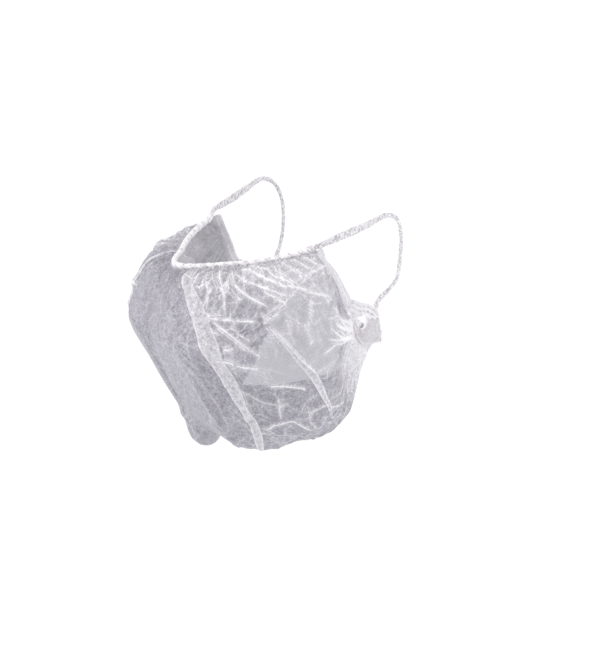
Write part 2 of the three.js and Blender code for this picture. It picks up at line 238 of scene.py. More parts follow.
# Each pleat: widths along it, then the place across and the half width across there
PLEATS = [
    ([0, 0.15, 0.45, 0.75, 1], [-0.68, -0.72, -0.78, -0.79, -0.78], [0.004, 0.014, 0.017, 0.01, 0.004]),
    ([0, 0.15, 0.4, 0.7, 1], [-0.33, -0.4, -0.47, -0.45, -0.4], [0.01, 0.03, 0.034, 0.02, 0.006]),
    (
        [0, 0.06, 0.12, 0.2, 0.34, 0.44, 0.58, 0.71, 0.85, 1],
        [0.16, 0.2, 0.29, 0.36, 0.43, 0.465, 0.49, 0.43, 0.36, 0.33],
        [0.03, 0.042, 0.05, 0.047, 0.042, 0.032, 0.028, 0.022, 0.012, 0.006],
    ),
    (
        [0, 0.1, 0.2, 0.25, 0.31, 0.39, 0.49, 0.58, 0.75, 1],
        [0.55, 0.58, 0.645, 0.693, 0.748, 0.815, 0.857, 0.875, 0.88, 0.87],
        [0.004, 0.004, 0.007, 0.014, 0.021, 0.02, 0.013, 0.007, 0.004, 0.004],
    ),
]
# The height of one layer, the swell of the top one, and how soon the cloth beside a pleat settles
PLEAT_LAYER, PLEAT_BULGE, PLEAT_SETTLE = 0.45, 0.9, 10
# The half width, as a share, from which a pleat has all its layer, its swell, its density and its crisp edge
FULL_LAYER, FULL_BULGE, FULL_BODY, FULL_EDGE = 0.012, 0.03, 0.014, 0.009
# How much denser the layers look, and how fast the crisp edge fades
BODY_DENSITY, EDGE_FADE = 0.38, 0.8
# Columns of each plain stretch, and of one layer of each pleat
PLAIN_COLUMNS = [36, 44, 132, 46, 50]
LAYER_COLUMNS = [7, 10, 15, 9]
ROWS = 206


def column_layout(width):
    """For one row: the place across of each column, its height over the smooth sheet and how dense it is."""
    w = np.array([width])
    across, height, dense = [], [], []
    at, under = -1.0, 0.0
    for k, (widths, centres, halves) in enumerate(PLEATS):
        centre, half = smooth(widths, centres, w)[0], smooth(widths, halves, w)[0]
        plain = np.linspace(at, centre - half, PLAIN_COLUMNS[k], endpoint=False)
        across.append(plain)
        height.append(under * np.exp(-(plain - at) * HUNG_LENGTH / 2 / PLEAT_SETTLE))
        dense.append(np.zeros(plain.size))
        turns = np.linspace(0, 1, LAYER_COLUMNS[k], endpoint=False)
        rise = PLEAT_LAYER * min(1, half / FULL_LAYER)
        bulge = PLEAT_BULGE * min(1, half / FULL_BULGE)
        forward = centre + half * (2 * turns - 1)
        across += [forward, centre + half * (1 - 2 * turns), forward]
        swell = np.sin(np.pi * turns)
        height += [rise * 0.3 * turns, rise * (0.3 + 0.7 * turns), rise * (1 + turns) + bulge * swell]
        from_edge = np.minimum(turns, 1 - turns) * 2 * half * HUNG_LENGTH / 2
        body = BODY_DENSITY * min(1, half / FULL_BODY)
        under_it = np.full(turns.size, 0.5 * body)
        crisp = (1 - body) * min(1, half / FULL_EDGE) ** 2
        dense += [under_it, under_it, body + crisp * np.exp(-from_edge / EDGE_FADE)]
        at, under = centre + half, 2 * rise
    last = np.linspace(at, 1, PLAIN_COLUMNS[-1])
    across.append(last)
    height.append(under * np.exp(-(last - at) * HUNG_LENGTH / 2 / PLEAT_SETTLE))
    dense.append(np.zeros(last.size))
    return np.concatenate(across), np.concatenate(height), np.concatenate(dense)


rows = [column_layout(width) for width in np.linspace(0, 1, ROWS)]
across = np.concatenate([row[0] for row in rows])
pleat_height = np.concatenate([row[1] for row in rows])
pleat_dense = np.concatenate([row[2] for row in rows])
columns = rows[0][0].size
width = np.repeat(np.linspace(0, 1, ROWS), columns)
print("sheet grid", ROWS, "by", columns, "=", 2 * (ROWS - 1) * (columns - 1), "triangles")

# %% [markdown]
# ## Folds, creases and gathers
#
# Nonwoven behaves like soft paper. It doesn't stretch, so it bends along straight ridges with flat facets
# between them, and keeps every crease of its packing. Three things are added up as a height over the smooth
# sheet: the main folds and creases that the photo shows, a seeded crowd of small packing creases, and the
# gathers that fan out from the elastic. Cloth simulation would give soft round folds, and not these, so the
# folds are tables that follow the photo.

# %% Tables of folds and creases
# Main folds: where each starts and ends, as (across, width), its half width and its height
MAIN_FOLDS = [
    ((0.12, 0.04), (0.3, 0.62), 7, 3.0),
    ((0.5, 0.3), (0.8, 0.6), 7.7, 3.6),
    ((0.3, 0.06), (0.7, 0.16), 6.4, 2.6),
    ((0.2, 0.24), (0.52, 0.3), 5.8, 2.2),
    ((0.2, 0.26), (0.5, 0.46), 5.8, 2.0),
    ((0.66, 0.16), (0.94, 0.36), 6.4, 2.6),
    ((-0.06, 0.1), (-0.2, 0.66), 7.7, -2.5),
    ((-0.45, 0.12), (-0.62, 0.6), 9, 3.0),
    ((-0.7, 0.18), (-0.92, 0.46), 7.7, 3.5),
    ((-0.2, 0.715), (-0.5, 0.72), 16.5, 11),
]
# Creases of the near side, then of the far one: its points, each across and then width in thousandths, the
# reach and height of the ridge, how white its line is, and the line's half width
CREASES = [
    ([257, 27, 270, 64, 260, 91], 4, 1.2, 0.7, 1.0),
    ([308, 26, 374, 102, 368, 145], 4.5, 1.5, 0.8, 0.6),
    ([367, 20, 426, 70, 456, 109, 466, 164], 5, 1.8, 0.85, 0.9),
    ([465, 25, 503, 84, 550, 109, 659, 152], 5.5, 2.2, 1.0, 0.7),
    ([470, 30, 468, 86, 449, 94], 4, 1.2, 0.8, 0.6),
    ([486, 26, 590, 57, 676, 84, 734, 105, 803, 116, 852, 139, 906, 159, 934, 196], 7, 3.0, 1.0, 1.3),
    ([470, 45, 575, 82, 665, 106, 727, 127, 800, 136], 5, 1.4, 0.95, 0.6),
    ([638, 20, 694, 74, 804, 113], 4.5, 1.6, 0.9, 0.7),
    ([703, 17, 720, 59, 773, 95, 810, 111], 4.5, 1.6, 0.9, 0.6),
    ([810, 111, 865, 86, 984, 75], 5, 1.8, 0.95, 0.7),
    ([674, 93, 645, 112, 696, 132, 736, 156], 4, 1.4, 0.9, 0.7),
    ([368, 161, 399, 165, 596, 184, 620, 196], 5, 1.9, 1.0, 0.6),
    ([620, 196, 654, 179, 691, 170], 4.5, 1.8, 1.0, 0.8),
    ([621, 190, 667, 158, 759, 129], 5, 1.3, 0.55, 0.6),
    ([395, 168, 471, 209, 546, 257, 600, 295], 5, 1.8, 0.95, 0.6),
    ([416, 189, 487, 229, 555, 273], 4, 1.0, 0.6, 0.5),
    ([478, 130, 559, 118], 3.5, 0.8, 0.6, 0.5),
    ([650, 200, 694, 250, 744, 302, 829, 379], 5, 1.6, 0.8, 0.7),
    ([832, 149, 833, 184, 797, 235, 795, 286], 6, 1.6, 0.6, 1.6),
    ([870, 103, 886, 144, 931, 200], 5, 1.8, 0.95, 0.7),
    ([395, 290, 482, 290, 594, 325], 4.5, 1.3, 0.75, 0.6),
    ([894, 235, 968, 371, 988, 645], 5, 2.0, 0.95, 1.1),
    ([917, 220, 981, 386, 1000, 612], 5, 2.0, 0.95, 1.0),
    ([934, 196, 980, 388], 4.5, 1.8, 0.9, 0.8),
    ([877, 282, 951, 320, 982, 380], 4.5, 1.4, 0.8, 0.7),
    ([838, 312, 911, 312, 966, 345], 5, 1.3, 0.7, 0.7),
    ([790, 360, 860, 370, 950, 365], 5, 1.0, 0.4, 0.5),
    ([600, 374, 664, 386, 755, 410, 776, 431], 5, 1.7, 0.9, 0.6),
    ([641, 414, 635, 533], 4.5, 1.2, 0.7, 0.5),
    ([523, 559, 631, 546, 692, 537, 779, 611], 5, 1.6, 0.85, 0.7),
    ([733, 509, 857, 528, 948, 643], 5, 1.2, 0.6, 0.6),
    ([568, 37, 673, 49], 3.5, 1.0, 0.8, 0.5),
    ([544, 16, 639, 54, 711, 54], 3.5, 1.0, 0.8, 0.5),
    ([579, 4, 659, 70], 3.5, 1.0, 0.7, 0.5),
    ([758, 9, 801, 58, 837, 98], 4, 1.2, 0.8, 0.6),
    ([816, 3, 868, 51, 914, 106], 4, 1.3, 0.8, 0.7),
    ([898, 2, 931, 54, 957, 122], 4, 1.3, 0.8, 0.7),
    ([981, 1, 994, 60, 986, 173], 4, 1.4, 0.8, 0.8),
    ([211, 84, 260, 128, 333, 168], 4, 1.0, 0.6, 0.6),
    ([141, 33, 251, 59, 257, 27], 3.5, 1.0, 0.7, 0.6),
    ([325, 27, 415, 90, 410, 136], 4, 1.0, 0.5, 0.5),
    ([444, 336, 498, 402, 503, 522], 5, 1.0, 0.5, 0.5),
    ([485, 384, 569, 436, 693, 462], 5, 1.0, 0.5, 0.5),
    ([-277, 45, -274, 76, -303, 116], 5, 1.0, 0.25, 0.6),
    ([-113, 506, -164, 585, -214, 682], 5, 1.0, 0.2, 0.5),
    ([210, 260, 270, 360, 330, 470, 340, 600], 6, 1.0, 0.25, 0.5),
    ([20, 300, 160, 240, 220, 160], 6, 0.8, 0.18, 0.5),
    ([-300, 140, -520, 170, -740, 130, -930, 100], 6, 1.8, 0.8, 0.8),
    ([-985, 420, -880, 320, -760, 260], 5, 1.7, 0.8, 0.8),
    ([-985, 500, -900, 450, -840, 470], 5, 1.5, 0.8, 0.7),
    ([-980, 330, -900, 200, -830, 160], 5, 1.5, 0.8, 0.7),
    ([-480, 260, -660, 330, -740, 450], 6, 1.5, 0.7, 0.7),
    ([-360, 420, -550, 400, -680, 500, -740, 600], 6, 1.7, 0.8, 0.7),
    ([-100, 620, -300, 600, -520, 640], 6, 1.2, 0.15, 0.5),
    ([-600, 20, -620, 100, -600, 200], 5, 1.4, 0.7, 0.7),
    ([-500, 20, -560, 70, -720, 120], 5, 1.6, 0.9, 0.7),
    ([-800, 20, -840, 80, -950, 140], 5, 1.5, 0.8, 0.7),
    ([-660, 620, -820, 580, -970, 620], 5, 1.5, 0.7, 0.7),
]
# Crowds of small creases: how many, where across, where down the width, and how white the whitest is
SMALL_CREASES = [
    (190, (-0.97, 0.97), (0.04, 0.96), 0.45),
    (130, (0.38, 0.96), (0.03, 0.27), 0.9),
    (60, (0.34, 0.97), (0.3, 0.8), 0.6),
    (90, (-0.96, -0.5), (0.03, 0.3), 0.8),
]

# %% [markdown]
# ## Pressing the creases
#
# A crease raises the sheet a little. It is also denser than the cloth beside it and shows as a white line,
# often thinner than a face of the mesh. So each point also notes its distance from the nearest crease, with
# a sign for the side. Between two points the sign passes through nought exactly on the crease, and the
# material can draw the line there.

# %% Pressing the creases
# The table's creases read best in the render when all are raised, whitened and widened by these
RISE_GAIN, WHITE_GAIN, HALF_GAIN = 1.35, 1.2, 1.3
# How far round a crease points are looked at, and the share of its length over which each end fades
MARGIN, END_FADE = 12, 0.14
here = np.stack([across * HUNG_LENGTH / 2, width * HUNG_WIDTH], axis=1)


def on_sheet(place):
    return np.array([place[0] * HUNG_LENGTH / 2, place[1] * HUNG_WIDTH])


def distance_to_line(points, start, finish):
    """How far each point lies from a stretch of line, and its share of the way along it."""
    way = finish - start
    part = np.clip((points - start) @ way / (way @ way), 0, 1)
    return np.linalg.norm(points - start - part[:, None] * way, axis=1), part


height = pleat_height.copy()
white = pleat_dense.copy()
nearest = np.full(across.size, 1e9)
line_offset = np.full(across.size, 9.0)
line_white, line_half = np.zeros(across.size), np.full(across.size, 0.5)


def press_crease(stops, reach, rise, whiteness, half):
    """Raises a ridge along stops, and notes for each point how far from the nearest line it lies, and on which
    side. The material draws the line from that, finer than the faces."""
    close = np.abs(here - stops.mean(axis=0)).max(axis=1) < np.ptp(stops, axis=0).max() / 2 + MARGIN
    spots = here[close]
    steps = np.linalg.norm(np.diff(stops, axis=0), axis=1)
    away, share, side, done = np.full(len(spots), 1e9), np.zeros(len(spots)), np.ones(len(spots)), 0
    for start, finish, step in zip(stops, stops[1:], steps):
        d, part = distance_to_line(spots, start, finish)
        way, out = finish - start, spots - start
        share = np.where(d < away, (done + part * step) / steps.sum(), share)
        side = np.where(d < away, np.sign(way[0] * out[:, 1] - way[1] * out[:, 0]), side)
        away = np.minimum(away, d)
        done += step
    fade = np.clip(np.minimum(share, 1 - share) / END_FADE, 0, 1)
    height[close] += rise * np.clip(1 - away / reach, 0, 1) ** 1.3 * fade
    white[close] = np.maximum(white[close], 0.45 * whiteness * np.exp(-((away / (half + 0.9)) ** 2)) * fade)
    own = away < nearest[close]
    mine = np.flatnonzero(close)[own]
    nearest[mine], line_offset[mine] = away[own], side[own] * away[own]
    line_white[mine], line_half[mine] = (whiteness * fade)[own], half


for start, finish, spread, rise in MAIN_FOLDS:
    away, _ = distance_to_line(here, on_sheet(start), on_sheet(finish))
    height += rise * np.exp(-((away / spread) ** 2))
for points, reach, rise, whiteness, half in CREASES:
    stops = np.array([on_sheet(place) for place in np.reshape(points, (-1, 2)) / 1000])
    press_crease(stops, reach, RISE_GAIN * rise, min(1, WHITE_GAIN * whiteness), HALF_GAIN * half)
chance = np.random.default_rng(41)
for count, (left, right), (top, bottom), whitest in SMALL_CREASES:
    for _ in range(count):
        middle = on_sheet((chance.uniform(left, right), chance.uniform(top, bottom)))
        turn = chance.uniform(0, np.pi)
        way = chance.uniform(3, 12) * np.array([np.cos(turn), np.sin(turn)])
        bend = chance.uniform(-0.3, 0.3) * np.array([-way[1], way[0]])
        # the front was handled least, so it is plainer
        plain = 0.4 if -0.45 < middle[0] * 2 / HUNG_LENGTH < 0.1 else 1
        sign = 1 if chance.uniform() < 0.65 else -1
        press_crease(
            np.array([middle - way, middle + bend, middle + way]),
            chance.uniform(2.5, 6),
            sign * chance.uniform(0.25, 0.95) * plain,
            chance.uniform(0.25, 1) * whitest * plain,
            chance.uniform(0.3, 0.55),
        )

# %% [markdown]
# ## Gathers
#
# Where the elastic draws up an edge, sharp-topped waves run into the cloth and die away, some sooner than
# others. A plain sine would look like a curtain, so the pitch and the reach of the waves wander.

# %% Gathers
# Within this much of its edges the cloth is held, and relief fades out
HELD_EDGE = 3.5


def wandering(values, seed, period):
    """A smooth seeded wander from -1 to 1 along one number."""
    chance = np.random.default_rng(seed)
    total = np.zeros(values.size)
    for octave, weight in ((1, 0.6), (2.3, 0.3), (4.7, 0.15)):
        total += weight * np.sin(2 * np.pi * octave * values / period + chance.uniform(0, 6.28))
    return total


def gathers(along, away, pitch, reach, seed):
    """Sharp-topped waves along an edge that die away from it. Their pitch and reach wander."""
    wander = wandering(along, seed, 61) * 1.3 + wandering(along + away * 0.25, seed + 1, 17) * 0.45
    phase = along / pitch + wander
    wave = 1 - 2 * np.abs(2 * (phase - np.floor(phase)) - 1)
    far = reach * (1 + 0.55 * wandering(along, seed + 2, 23))
    rise = np.clip(away / 1.6, 0, 1) * np.exp(-away / far)
    return wave * rise, np.clip(wave, 0, 1) ** 4 * rise


top_wave, top_line = gathers(here[:, 0], here[:, 1], 5.2, 17, 5)
low_wave, low_line = gathers(here[:, 0], HUNG_WIDTH - here[:, 1], 5.6, 12, 9)
rear_away = HUNG_LENGTH / 2 - np.abs(here[:, 0])
rear_wave, rear_line = gathers(here[:, 1] + 300 * (across < 0), rear_away, 6.5, 14, 13)
fine_wave, fine_line = gathers(here[:, 0], here[:, 1], 2.9, 7, 21)
height += 1.3 * top_wave + 0.5 * fine_wave + 1.1 * low_wave + 0.7 * rear_wave
# The cloth is bunched where it enters each corner tab, and pale folds fan out from there
BUNCH, FAN_HEIGHT, FAN_REACH = on_sheet((0.985, 0.62)), 0.9, 17
from_bunch = np.abs(here) * [1, 0] + here * [0, 1] - BUNCH
bunch_away = np.linalg.norm(from_bunch, axis=1)
bunch_turn = np.arctan2(from_bunch[:, 1], -from_bunch[:, 0])
fan = np.sin(13 * bunch_turn + 1.6 * wandering(bunch_turn + 2 * (across < 0), 31, 2.1))
height += FAN_HEIGHT * fan * np.exp(-((bunch_away / FAN_REACH) ** 2)) * np.clip(bunch_away / 6, 0, 1)
fan_line = np.exp(-((bunch_away / 20) ** 2)) * (0.18 + 0.45 * np.clip(fan, 0, 1) ** 2.5)
# The cloth just behind each tab lies in the tab's shade, and is painted pale there: painted light
painted_light_under_tab = 0.6 * np.clip((np.abs(across) - 0.93) / 0.04, 0, 1) * np.clip((width - 0.45) / 0.1, 0, 1)
white = np.maximum(white, np.maximum(fan_line, painted_light_under_tab))
# Both sides were handled more than the front, and most of all just under the top edge
handled = 0.12 + 0.88 * np.clip((across - 0.05) / 0.2, 0, 1) + 0.6 * np.clip((-across - 0.42) / 0.2, 0, 1)
handled *= 1 + 0.6 * np.exp(-((width - 0.1) / 0.12) ** 2) * (np.abs(across) > 0.3)
ridge_tops = np.maximum(np.maximum(top_line, fine_line) * np.clip(handled, 0.2, 1), low_line)
white = np.maximum(white, 0.8 * np.maximum(ridge_tops, 0.35 * rear_line))
drawn = (0.2 + 0.8 * handled) * np.exp(-here[:, 1] / 20) + 0.8 * np.exp(-(HUNG_WIDTH - here[:, 1]) / 14)
edge_away = np.minimum(np.minimum(here[:, 1], HUNG_WIDTH - here[:, 1]), rear_away)
height *= np.clip(edge_away / HELD_EDGE, 0, 1)
print("height over the smooth sheet:", round(height.min(), 1), "to", round(height.max(), 1), "mm")

# %% [markdown]
# ## The sheet's mesh
#
# The grid becomes a mesh of quads with an open edge all round, one face thick. Its UV map is in metres on
# the cloth itself, so the fibres keep their direction however the cloth hangs.

# %% The sheet's mesh
def make_piece(name, points, faces, values, uv):
    """A mesh object in place, from points in millimetres. values are attributes on its points."""
    mesh = bpy.data.meshes.new(name)
    mesh.from_pydata((points * MM).tolist(), [], faces)
    for key, data in values.items():
        layer = mesh.attributes.new(key, "FLOAT", "POINT")
        layer.data.foreach_set("value", data.astype(np.float32))
    corners = np.empty(len(mesh.loops), np.int32)
    mesh.loops.foreach_get("vertex_index", corners)
    mesh.uv_layers.new(name="cloth").data.foreach_set("uv", (uv[corners] * MM).astype(np.float32).ravel())
    mesh.update()
    piece = bpy.data.objects.new(name, mesh)
    bpy.context.collection.objects.link(piece)
    for polygon in mesh.polygons:
        polygon.use_smooth = True
    return piece


# Each edge runs on this far, into its hem or band
TUCK = 1.1
points = sheet_point(across, width) + outward_normal(across, width) * height[:, None]
grid = points.reshape(ROWS, columns, 3)
grid[0] += TUCK * unit(grid[0] - grid[2])
grid[-1] += TUCK * unit(grid[-1] - grid[-3])
grid[:, 0] += TUCK * unit(grid[:, 0] - grid[:, 2])
grid[:, -1] += TUCK * unit(grid[:, -1] - grid[:, -3])
index = np.arange(ROWS * columns).reshape(ROWS, columns)
quads = np.stack([index[:-1, :-1], index[1:, :-1], index[1:, 1:], index[:-1, 1:]], axis=2).reshape(-1, 4)
steps = np.linalg.norm(np.diff(grid, axis=1), axis=2)
walked = np.concatenate([np.zeros((ROWS, 1)), np.cumsum(steps, axis=1)], axis=1)
cloth_uv = np.stack([walked.ravel(), here[:, 1]], axis=1)
sheet_values = {"crease_and_painted_light": white, "drawn": np.clip(drawn, 0, 1), "handled": handled}
sheet_values.update({"line_offset": line_offset, "line_white": line_white, "line_half": line_half})
sheet = make_piece("net_cloth", grid.reshape(-1, 3), quads.tolist(), sheet_values, cloth_uv)
area = sum(polygon.area for polygon in sheet.data.polygons)
print("cloth area", round(area, 4), "square metres")

# %% [markdown]
# ## Spunbonded polypropylene
#
# The cloth is a web of fine endless filaments, laid in a cloud and spot-bonded. It is milky, matt and half
# see-through, and what the eye sees is uneven: cloudy patches about 3 mm across where more filaments fell,
# specks, and a white line at each crease. So the see-through share, not only the colour, follows the noise and
# the attribute of creases, which also carries painted light. A flat transparent colour would look like film,
# and glass would bend the light.
# A pressed crease is thinner than a face of the mesh, so the material draws its line from the distance that
# each point carries. The finest creases of all are the edges of a warped cell pattern on the cloth's own
# UV map.

# %% Spunbonded polypropylene
# Patches of 2.8 mm and specks of 0.95 mm. A real filament is 0.02 mm and wouldn't show, so these are coarser
CLOUDS_PER_MM, SPECKS_PER_MM = 0.36, 1.05
# The two noises add up to values about 1. These are the ends of their range that the eye should see
THINNEST, THICKEST = 0.72, 1.28


def cloud_of_filaments(material, place):
    """How many filaments fell at each place, as noise about 1."""
    noise = {"Vector": place, "Roughness": 0.7}
    cloud, speck = (
        add_node(material, "TexNoise", {**noise, "Scale": per_mm / MM, "Detail": detail}).outputs["Fac"]
        for per_mm, detail in ((CLOUDS_PER_MM, 3.0), (SPECKS_PER_MM, 2.0))
    )
    return add_node(material, "Math", {0: cloud, 1: speck}, operation="ADD")


def fine_creases(material, place, cell, line):
    """Thin lines round warped cells, shown only in patches. The sizes are in metres, as the UV map is."""
    warp = add_node(
        material, "TexNoise", {"Vector": place, "Scale": 0.6 / cell, "Detail": 2.0, "Roughness": 0.5}
    )
    bent = add_node(
        material,
        "VectorMath",
        {0: warp.outputs["Color"], 1: (0.35 * cell, 0.35 * cell, 0), 2: place},
        operation="MULTIPLY_ADD",
    )
    cells = add_node(material, "TexVoronoi", {"Vector": bent, "Scale": 1 / cell}, feature="DISTANCE_TO_EDGE")
    edge = add_node(
        material,
        "MapRange",
        {"Value": cells.outputs["Distance"], "From Max": line / cell, "To Min": 1.0, "To Max": 0.0},
    )
    patch = add_node(material, "TexNoise", {"Vector": bent, "Scale": 0.45 / cell, "Detail": 1.0})
    shown = add_node(material, "MapRange", {"Value": patch.outputs["Fac"], "From Min": 0.42, "From Max": 0.62})
    return add_node(material, "Math", {0: edge, 1: shown}, operation="MULTIPLY")


def milky_shader(material, uneven, dense, tint, pale, cover, spread, relief):
    """The see-through shader: what is dense is paler and stops more light, and so is what is painted pale as
    light. cover is the share of light that the cloth stops, spread how far it varies, and relief the depth of
    its roughness in metres."""
    reach = {"Value": uneven, "From Min": THINNEST, "From Max": THICKEST}
    see = add_node(material, "MapRange", {**reach, "To Min": cover - spread, "To Max": cover + spread})
    tone = add_node(material, "MapRange", {**reach, "To Max": 0.42})
    stops, paler = (
        add_node(material, "Math", {0: dense, 1: share, 2: base}, operation="MULTIPLY_ADD", use_clamp=True)
        for share, base in ((0.4, see), (0.9, tone))
    )
    colour = add_node(material, "Mix", {"Factor": paler, "A": srgb(tint), "B": srgb(pale)}, data_type="RGBA")
    rise = add_node(material, "Math", {0: dense, 1: 1.6, 2: uneven}, operation="MULTIPLY_ADD")
    bump = add_node(material, "Bump", {"Height": rise, "Strength": 0.6, "Distance": relief})
    shader = add_node(
        material,
        "BsdfPrincipled",
        {
            "Base Color": colour.outputs["Result"],
            "Roughness": 0.6,
            "Specular IOR Level": 0.35,
            "Sheen Weight": 0.3,
            "Sheen Roughness": 0.5,
            "Alpha": stops,
            "Normal": bump,
        },
    )
    add_node(material, "OutputMaterial", {"Surface": shader})
    return material


# Streaks of drawn-up cloth: about 1.5 mm wide and 22 mm long, as counts per millimetre across and along
STREAKS_PER_MM = (0.65, 0.045)


def single_layer_spunbond():
    """The pouch: one layer, with fine creases where it was handled and streaks where it was drawn up."""
    material = new_material("spunbond polypropylene, one layer")
    place = add_node(material, "TexCoord")
    cloth = place.outputs["UV"]
    crease_and_painted_light, handled, drawn, offset, half, whiteness = (
        add_node(material, "Attribute", attribute_name=key).outputs["Fac"]
        for key in ("crease_and_painted_light", "handled", "drawn", "line_offset", "line_half", "line_white")
    )
    # pressed creases, from the signed distance to the nearest one
    off_line = add_node(material, "Math", {0: offset}, operation="ABSOLUTE")
    crisp = add_node(
        material,
        "MapRange",
        {"Value": off_line, "From Max": half, "To Min": 1.0, "To Max": 0.0},
        interpolation_type="SMOOTHSTEP",
    )
    line = add_node(material, "Math", {0: crisp, 1: whiteness}, operation="MULTIPLY")
    pressed = add_node(material, "Math", {0: line, 1: crease_and_painted_light}, operation="MAXIMUM")
    # fine creases in cells of 16 and 7 mm, drawn longer down the cloth and a little askew
    longer = add_node(material, "Mapping", {"Vector": cloth, "Rotation": (0, 0, 0.35), "Scale": (1, 0.5, 1)})
    large = fine_creases(material, longer, 16 * MM, 0.5 * MM)
    small = fine_creases(material, longer, 7 * MM, 0.4 * MM)
    both = add_node(material, "Math", {0: small, 1: 0.55, 2: large}, operation="MULTIPLY_ADD")
    used = add_node(material, "Math", {0: both, 1: handled}, operation="MULTIPLY")
    # streaks beside the elastic
    across_mm, along_mm = STREAKS_PER_MM
    stretched = add_node(material, "Mapping", {"Vector": cloth, "Scale": (across_mm / MM, along_mm / MM, 1)})
    streak = add_node(material, "TexNoise", {"Vector": stretched, "Scale": 1.0, "Detail": 2.0})
    sharp = add_node(
        material, "MapRange", {"Value": streak.outputs["Fac"], "From Min": 0.52, "From Max": 0.7, "To Max": 0.9}
    )
    pulled = add_node(material, "Math", {0: sharp, 1: drawn}, operation="MULTIPLY")
    light = add_node(material, "Math", {0: used, 1: 0.42, 2: pulled}, operation="MULTIPLY_ADD")
    dense = add_node(material, "Math", {0: light, 1: pressed}, operation="MAXIMUM")
    uneven = cloud_of_filaments(material, place.outputs["Object"])
    # the grey tint is painted shade: the cloth's own colour is paler, and the pale colour is where it is
    # creased
    return milky_shader(material, uneven, dense, "#827D8B", "#FBF9FB", 0.78, 0.16, 0.3 * MM)


def gathered_spunbond(name, tint, pale, cover):
    """Several layers of the same cloth, drawn up or pressed together: nearly opaque, with a painted highlight
    on each ridge.
    """
    material = new_material(name)
    place = add_node(material, "TexCoord")
    crease_and_painted_light = add_node(material, "Attribute", attribute_name="crease_and_painted_light")
    uneven = cloud_of_filaments(material, place.outputs["Object"])
    return milky_shader(material, uneven, crease_and_painted_light.outputs["Fac"], tint, pale, cover, 0.08, 0.2 * MM)


# One layer stops about three quarters of the light: a cool milky grey, darker than the white cloth's own colour
# as painted shade, that turns white where it is creased
sheet.data.materials.append(single_layer_spunbond())
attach(sheet, "root")
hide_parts("net_pouch")

# %% [markdown]
# ## Gathered hems
#
# Along the top and bottom edges the cloth is drawn up on a thread of elastic into a narrow scrunched roll.
# A curve with a bevel would be a smooth tube. Here a section is swept along the edge in code, and each ring
# swells and pinches in sharp puckers that lean and change from side to side, as drawn-up cloth does.

# %% Gathered hems
# How narrow a roll is at its two ends, as a share of its section
ROLL_END = 0.35


def swept(name, route, wide, thick, step, sides, shape):
    """A closed roll along a route of (x, y, z, and the way of its width). shape gives the share of the full
    section at each distance and angle, and the crease value there."""
    route = np.asarray(route, float)
    knots = np.concatenate([[0], np.cumsum(np.linalg.norm(np.diff(route[:, :3], axis=0), axis=1))])
    rings = int(knots[-1] / step)
    t = np.linspace(0, knots[-1], rings)
    line = np.stack([smooth(knots, route[:, k], t) for k in range(6)], axis=1)
    middle = line[:, :3]
    tangent = unit(np.gradient(middle, axis=0))
    side = unit(line[:, 3:] - (line[:, 3:] * tangent).sum(axis=1, keepdims=True) * tangent)
    over = np.cross(tangent, side)
    angle = np.arange(sides) * 2 * np.pi / sides
    T, A = np.meshgrid(t, angle, indexing="ij")
    share, crease_and_painted_light = shape(T, A, knots[-1])
    close = np.clip(np.minimum(T, knots[-1] - T) / (thick * 0.5), 0, 1) ** 0.5
    share = share * (ROLL_END + (1 - ROLL_END) * close)
    ring = (wide / 2 * share * np.cos(A))[..., None] * side[:, None]
    ring = ring + (thick / 2 * share * np.sin(A))[..., None] * over[:, None]
    points = (middle[:, None] + ring).reshape(-1, 3)
    index = np.arange(rings * sides).reshape(rings, sides)
    turned = np.roll(index, -1, axis=1)
    faces = np.stack([index[:-1], turned[:-1], turned[1:], index[1:]], axis=2).reshape(-1, 4).tolist()
    start, finish = len(points), len(points) + 1
    points = np.concatenate([points, middle[:1], middle[-1:]])
    crease_and_painted_light = np.concatenate([crease_and_painted_light.ravel(), [0.5, 0.5]])
    for k in range(sides):
        faces.append([start, index[0, (k + 1) % sides], index[0, k]])
        faces.append([finish, index[-1, k], index[-1, (k + 1) % sides]])
    around = np.concatenate([np.stack([T.ravel(), A.ravel() * wide / 4], axis=1), [[0, 0], [knots[-1], 0]]])
    piece = make_piece(name, points, faces, {"crease_and_painted_light": crease_and_painted_light}, around)
    print(name, "length", round(knots[-1], 1), "mm,", 2 * rings * sides, "triangles")
    return piece


def puckers(pitch, depth, seed):
    """Puckers across a roll, one every pitch or so, sharper on top than between. The ends are thicker."""

    def shape(distance, angle, length):
        flat = distance.ravel()
        lean = 0.45 * np.sin(angle.ravel() * 2 + wandering(flat, seed + 3, 23) * 3)
        phase = flat / pitch + wandering(flat, seed, 19) * 0.9 + wandering(flat, seed + 5, 6.1) * 0.35 + lean
        wave = np.abs(2 * (phase - np.floor(phase)) - 1)
        size = np.clip(1 + 0.9 * wandering(flat + 2 * np.sin(angle.ravel()), seed + 1, 7.3), 0.15, 2)
        swell = wandering(flat + 3 * np.cos(angle.ravel()), seed + 2, 11)
        share = 1 - depth * wave * size + 0.3 * depth * swell
        share *= 1 + 0.3 * np.abs(2 * flat / length - 1) ** 3
        # the top of each pucker is painted white, a painted highlight, and its pit grey, painted shade
        crease_and_painted_light = np.clip(1.2 - 1.1 * wave * size, 0, 1)
        return share.reshape(distance.shape), crease_and_painted_light.reshape(distance.shape)

    return shape


